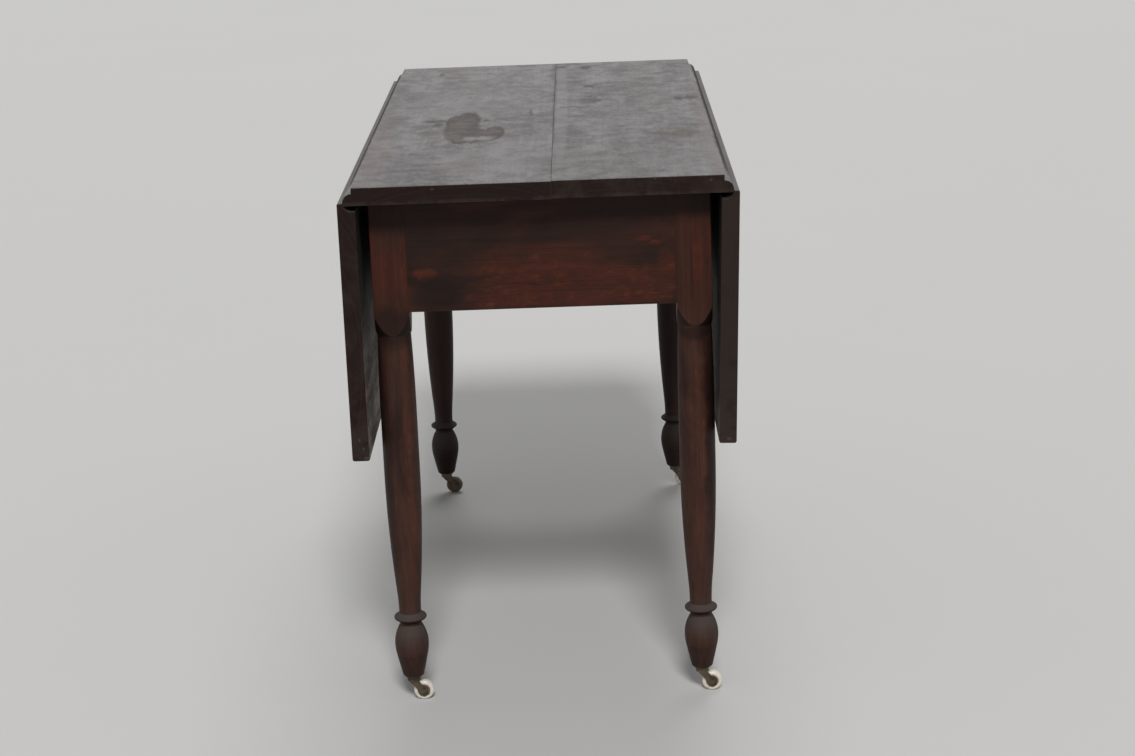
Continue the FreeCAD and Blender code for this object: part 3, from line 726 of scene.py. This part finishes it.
metalSettings = {
    "sheen": 0.5,
    "tarnish": (90, 5, 0.65),               # scale, detail and roughness
    "crust": (230, 4, 0.60),
    "tarnishBand": (0.36, 0.62),
    "rust": {"band": (0.55, 0.70), "share": 0.80, "metal": 0.10},
    "rubbedEdges": {"edge": (0.0008, 0.97, 0.82), "share": 0.35},
    "hingeIron": {
        "clean": (0.115, 0.100, 0.090), "dull": (0.045, 0.036, 0.031), "crust": (0.110, 0.045, 0.020),
        "metal": 0.85, "smooth": 0.45, "rough": 0.75, "bumps": {"crust": (0.0002, 0.60)},
        "seed": (3, 1, 4)},
    "screwIron": {
        "clean": (0.150, 0.130, 0.115), "dull": (0.060, 0.048, 0.040), "crust": (0.120, 0.055, 0.026),
        "metal": 0.85, "smooth": 0.40, "rough": 0.70, "bumps": {"crust": (0.0001, 0.60)},
        "seed": (1, 5, 9)},
    "casterBrass": {
        "clean": (0.125, 0.092, 0.058), "dull": (0.042, 0.032, 0.023), "crust": (0.070, 0.042, 0.026),
        "metal": 0.60, "smooth": 0.45, "rough": 0.74, "bumps": {"crust": (0.0002, 0.60)},
        "seed": (2, 6, 5)},
}


def metalFinish(name):
    look = metalSettings
    own = look[name]
    finish, tree, shader = startFinish(name)
    place = pieceSpace(tree)
    tarnish = speckled(tree, place, look["tarnish"], own["seed"])
    crust = speckled(tree, place, look["crust"], own["seed"])
    rust = spread(tree, crust, *look["rust"]["band"])
    colour = tint(tree, spread(tree, tarnish, *look["tarnishBand"]), own["dull"], own["clean"])
    colour = over(tree, rust, look["rust"]["share"], colour, own["crust"])
    edges = look["rubbedEdges"]
    colour = over(tree, rubbedEdges(tree, *edges["edge"]), edges["share"], colour, own["clean"])
    feed(tree, shader.inputs["Metallic"], between(tree, rust, own["metal"], look["rust"]["metal"]))
    gloss = between(tree, tarnish, own["rough"], own["smooth"])
    normal = bumped(tree, {"crust": crust}, own["bumps"])
    setShader(tree, shader, colour, gloss, normal, look["sheen"])
    return finish


# ceramic wheels: off-white glaze with soil on it and rust that has bled out from the axle

wheelSettings = {
    "sheen": 0.5,
    "rough": (0.22, 0.42),
    "white": {"glaze": (0.74, 0.70, 0.60), "soil": (0.30, 0.25, 0.19), "bleed": (0.070, 0.042, 0.028)},
    "brown": {"glaze": (0.120, 0.078, 0.050), "soil": (0.060, 0.042, 0.030),
              "bleed": (0.050, 0.030, 0.020)},
    "brownCorner": "back_left",
    "soil": (160, 4, 0.60),                 # scale, detail and roughness
    "chips": (420, 3, 0.50),
    "soilBand": (0.50, 0.75, 0.55),
    "bleed": {"edge": (260, 0.0022), "out": 0.0012, "in": 0.0004, "share": 0.90, "rough": 0.35},
    "axleRust": {"front_left": 0.0085, "front_right": 0.0082, "back_left": 0.0080, "back_right": 0.0078},
    "bumps": {"chips": (0.0001, 0.40)},
}


def wheelFinish(name, corner):
    look = wheelSettings
    own = look["brown" if corner == look["brownCorner"] else "white"]
    spill = look["bleed"]
    rust = look["axleRust"][corner]
    finish, tree, shader = startFinish(name)
    low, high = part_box("caster_wheel_" + corner)
    place = pieceSpace(tree)
    away = vectorMaths(tree, "SUBTRACT", wandered(tree, place, *spill["edge"]), tuple((low + high) / 2))
    away = vectorMaths(tree, "MULTIPLY", away, (1, 0, 1))
    radius = vectorMaths(tree, "LENGTH", away)
    bleed = spread(tree, radius, rust + spill["out"], rust - spill["in"])
    soil = speckled(tree, place, look["soil"])
    colour = layer(tree, soil, look["soilBand"], own["glaze"], own["soil"])
    colour = over(tree, bleed, spill["share"], colour, own["bleed"])
    gloss = rougher(tree, between(tree, soil, *look["rough"]), bleed, spill["rough"])
    normal = bumped(tree, {"chips": speckled(tree, place, look["chips"])}, look["bumps"])
    setShader(tree, shader, colour, gloss, normal, look["sheen"])
    return finish


# the log of each wooden piece: where its heart lies, for a leg from the leg's middle, and where its noise
# starts; mirrored from side to side

logSettings = {
    "topBoard": {"pith": (0.10, 0, 0.36), "seed": (3.1, 0.4, 1.7)},
    "leaf": {"pith": (0.62, 0, 0.50), "seed": (5.3, 2.2, 0.6)},
    "sideRail": {"pith": (0.35, 0, 0.50), "seed": (2.2, 1.0, 0.3)},
    "apron": {"pith": (0, 0.75, 0.55), "seed": (0.7, 2.6, 1.3)},
    "glueBlock": {"pith": (0, 0.70, 0.60), "seed": (1.9, 1.0, 0.8)},
    "leg": {"pith": (0.06, -0.05, 0), "seed": (1.7, 4.1, 0.2)},
}


def sawn(kind, wayX, wayY):
    log = logSettings[kind]
    return [(x * wayX, y * wayY, z) for x, y, z in (log["pith"], log["seed"])]


def dress(node, finish):
    nodes[node].data.materials.clear()
    nodes[node].data.materials.append(finish)


sides = {"left": -1, "right": 1}
ends = {"front": -1, "back": 1}

hingeIron = metalFinish("hingeIron")
screwIron = metalFinish("screwIron")
casterBrass = metalFinish("casterBrass")

for side, way in sides.items():
    marks = dict(topMarks, endWear=topMarks["endWear"][side])
    board = boardFinish("topBoard." + side, (0, 0, 1), *sawn("topBoard", way, 1), marks)
    dress("top_board_" + side, board)
    board = boardFinish("leaf." + side, (way, 0, 0), *sawn("leaf", way, 1), leafMarks[side])
    dress("leaf_" + side, board)
    railWood = railFinish("sideRail." + side, "Y", *sawn("sideRail", way, 1))
    for rail in ("side_rail_", "fly_knuckle_rail_", "fly_filler_rail_", "fly_bracket_", "glue_block_"):
        dress(rail + side, railWood)
    dress("fly_pin_" + side, hingeIron)
    dress("hinge_screws_leaf_" + side, screwIron)
    for end in ends:
        for plate in ("hinge_top_flap_", "hinge_leaf_flap_", "hinge_pin_"):
            dress(plate + side + "_" + end, hingeIron)
dress("hinge_screws_top", screwIron)
dress("glue_block_screws", screwIron)

apronMarks = {key: apronOvals(apronFace[key]) for key in ("rubbed", "darkPatchesAndPaintedShade")}
for end, way in ends.items():
    marks = apronMarks if end == "front" else None
    dress("apron_" + end, frameFinish("apron." + end, "apron", "X", *sawn("apron", 1, way), marks))
    dress("glue_block_" + end, railFinish("glueBlock." + end, "X", *sawn("glueBlock", 1, way)))
    for side in sides:
        corner = end + "_" + side
        low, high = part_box("leg_" + corner)
        centre = (low + high) / 2
        pith, seed = sawn("leg", sides[side], way)
        pith = (centre.x + pith[0], centre.y + pith[1], pith[2])
        wood = frameFinish("leg." + corner, end + "Legs", "Z", pith, seed, legMarks.get(corner), True)
        dress("leg_" + corner, wood)
        for metal in ("caster_socket_", "caster_fork_", "caster_axle_"):
            dress(metal + corner, casterBrass)
        dress("caster_wheel_" + corner, wheelFinish("wheel." + corner, corner))
print("finishes on", len(nodes), "nodes")


# pale floor, soft lamps and a pale surround

stageSettings = {
    "floorSize": 60.0,
    "floorColour": (0.60, 0.595, 0.585),
    "floorClouds": (0.46, 0.455, 0.45),
    "floorRough": 0.85,
    "clouds": (1.3, 4, 0.55),               # scale, detail and roughness
    "cloudShare": 0.12,
    "surround": (0.68, 0.68, 0.69),
    "surroundLight": 0.26,
    "lamps": [("keyLamp", (0.25, -3.3, 3.5), 14, 2.0), ("backLamp", (0.3, 2.4, 4.2), 30, 0.8)],
}


def layFloor():
    look = stageSettings
    half = look["floorSize"] / 2
    corners = [(-half, -half, 0), (half, -half, 0), (half, half, 0), (-half, half, 0)]
    mesh = bpy.data.meshes.new("floor")
    mesh.from_pydata(corners, [], [(0, 1, 2, 3)])
    floor = bpy.data.objects.new("floor", mesh)
    bpy.context.scene.collection.objects.link(floor)
    finish, tree, shader = startFinish("floorPaint")
    clouds = noise(tree, pieceSpace(tree), *look["clouds"])
    colour = over(tree, clouds, look["cloudShare"], look["floorColour"], look["floorClouds"])
    feed(tree, shader.inputs["Base Color"], colour)
    shader.inputs["Roughness"].default_value = look["floorRough"]
    mesh.materials.append(finish)


def hangLamps():
    for name, place, softness, strength in stageSettings["lamps"]:
        lamp = bpy.data.lights.new(name, "SUN")
        lamp.angle = math.radians(softness)
        lamp.energy = strength
        holder = bpy.data.objects.new(name, lamp)
        holder.location = place
        holder.rotation_euler = (-Vector(place)).to_track_quat("-Z", "Y").to_euler()
        bpy.context.scene.collection.objects.link(holder)


def setSurround():
    look = stageSettings
    world = bpy.data.worlds.new("surround")
    world.use_nodes = True
    tree = world.node_tree
    tree.nodes.clear()
    output = tree.nodes.new("ShaderNodeOutputWorld")
    light = tree.nodes.new("ShaderNodeBackground")
    seen = tree.nodes.new("ShaderNodeBackground")
    rays = tree.nodes.new("ShaderNodeLightPath").outputs
    choose = tree.nodes.new("ShaderNodeMixShader")
    light.inputs["Color"].default_value = (1, 1, 1, 1)
    light.inputs["Strength"].default_value = look["surroundLight"]
    seen.inputs["Color"].default_value = (*look["surround"], 1)
    views = [rays["Is Camera Ray"], rays["Is Glossy Ray"], rays["Is Transmission Ray"]]
    tree.links.new(chained(tree, "MAXIMUM", views), choose.inputs["Fac"])
    tree.links.new(light.outputs["Background"], choose.inputs[1])
    tree.links.new(seen.outputs["Background"], choose.inputs[2])
    tree.links.new(choose.outputs["Shader"], output.inputs["Surface"])
    bpy.context.scene.world = world


layFloor()
hangLamps()
setSurround()
print("floor, lamps and surround set")


# camera at the photograph's viewing angle

cameraSettings = {
    "place": (0.0638, -3.4818, 1.3077),
    "yaw": -0.677,                          # degrees
    "pitch": 15.795,
    "roll": -2.151,
    "lens": 75.933,                         # millimetres
    "sensor": 36,
}


def setCamera():
    look = cameraSettings
    camera = bpy.data.cameras.new("camera")
    camera.sensor_width = look["sensor"]
    camera.lens = look["lens"]
    holder = bpy.data.objects.new("camera", camera)
    aim = Matrix.Translation(look["place"])
    for degrees, axis in ((-look["yaw"], "Z"), (90 - look["pitch"], "X"), (look["roll"], "Z")):
        aim = aim @ Matrix.Rotation(math.radians(degrees), 4, axis)
    holder.matrix_world = aim
    bpy.context.scene.collection.objects.link(holder)
    bpy.context.scene.camera = holder


setCamera()
bpy.context.scene.view_settings.view_transform = "Standard"
print("camera set")
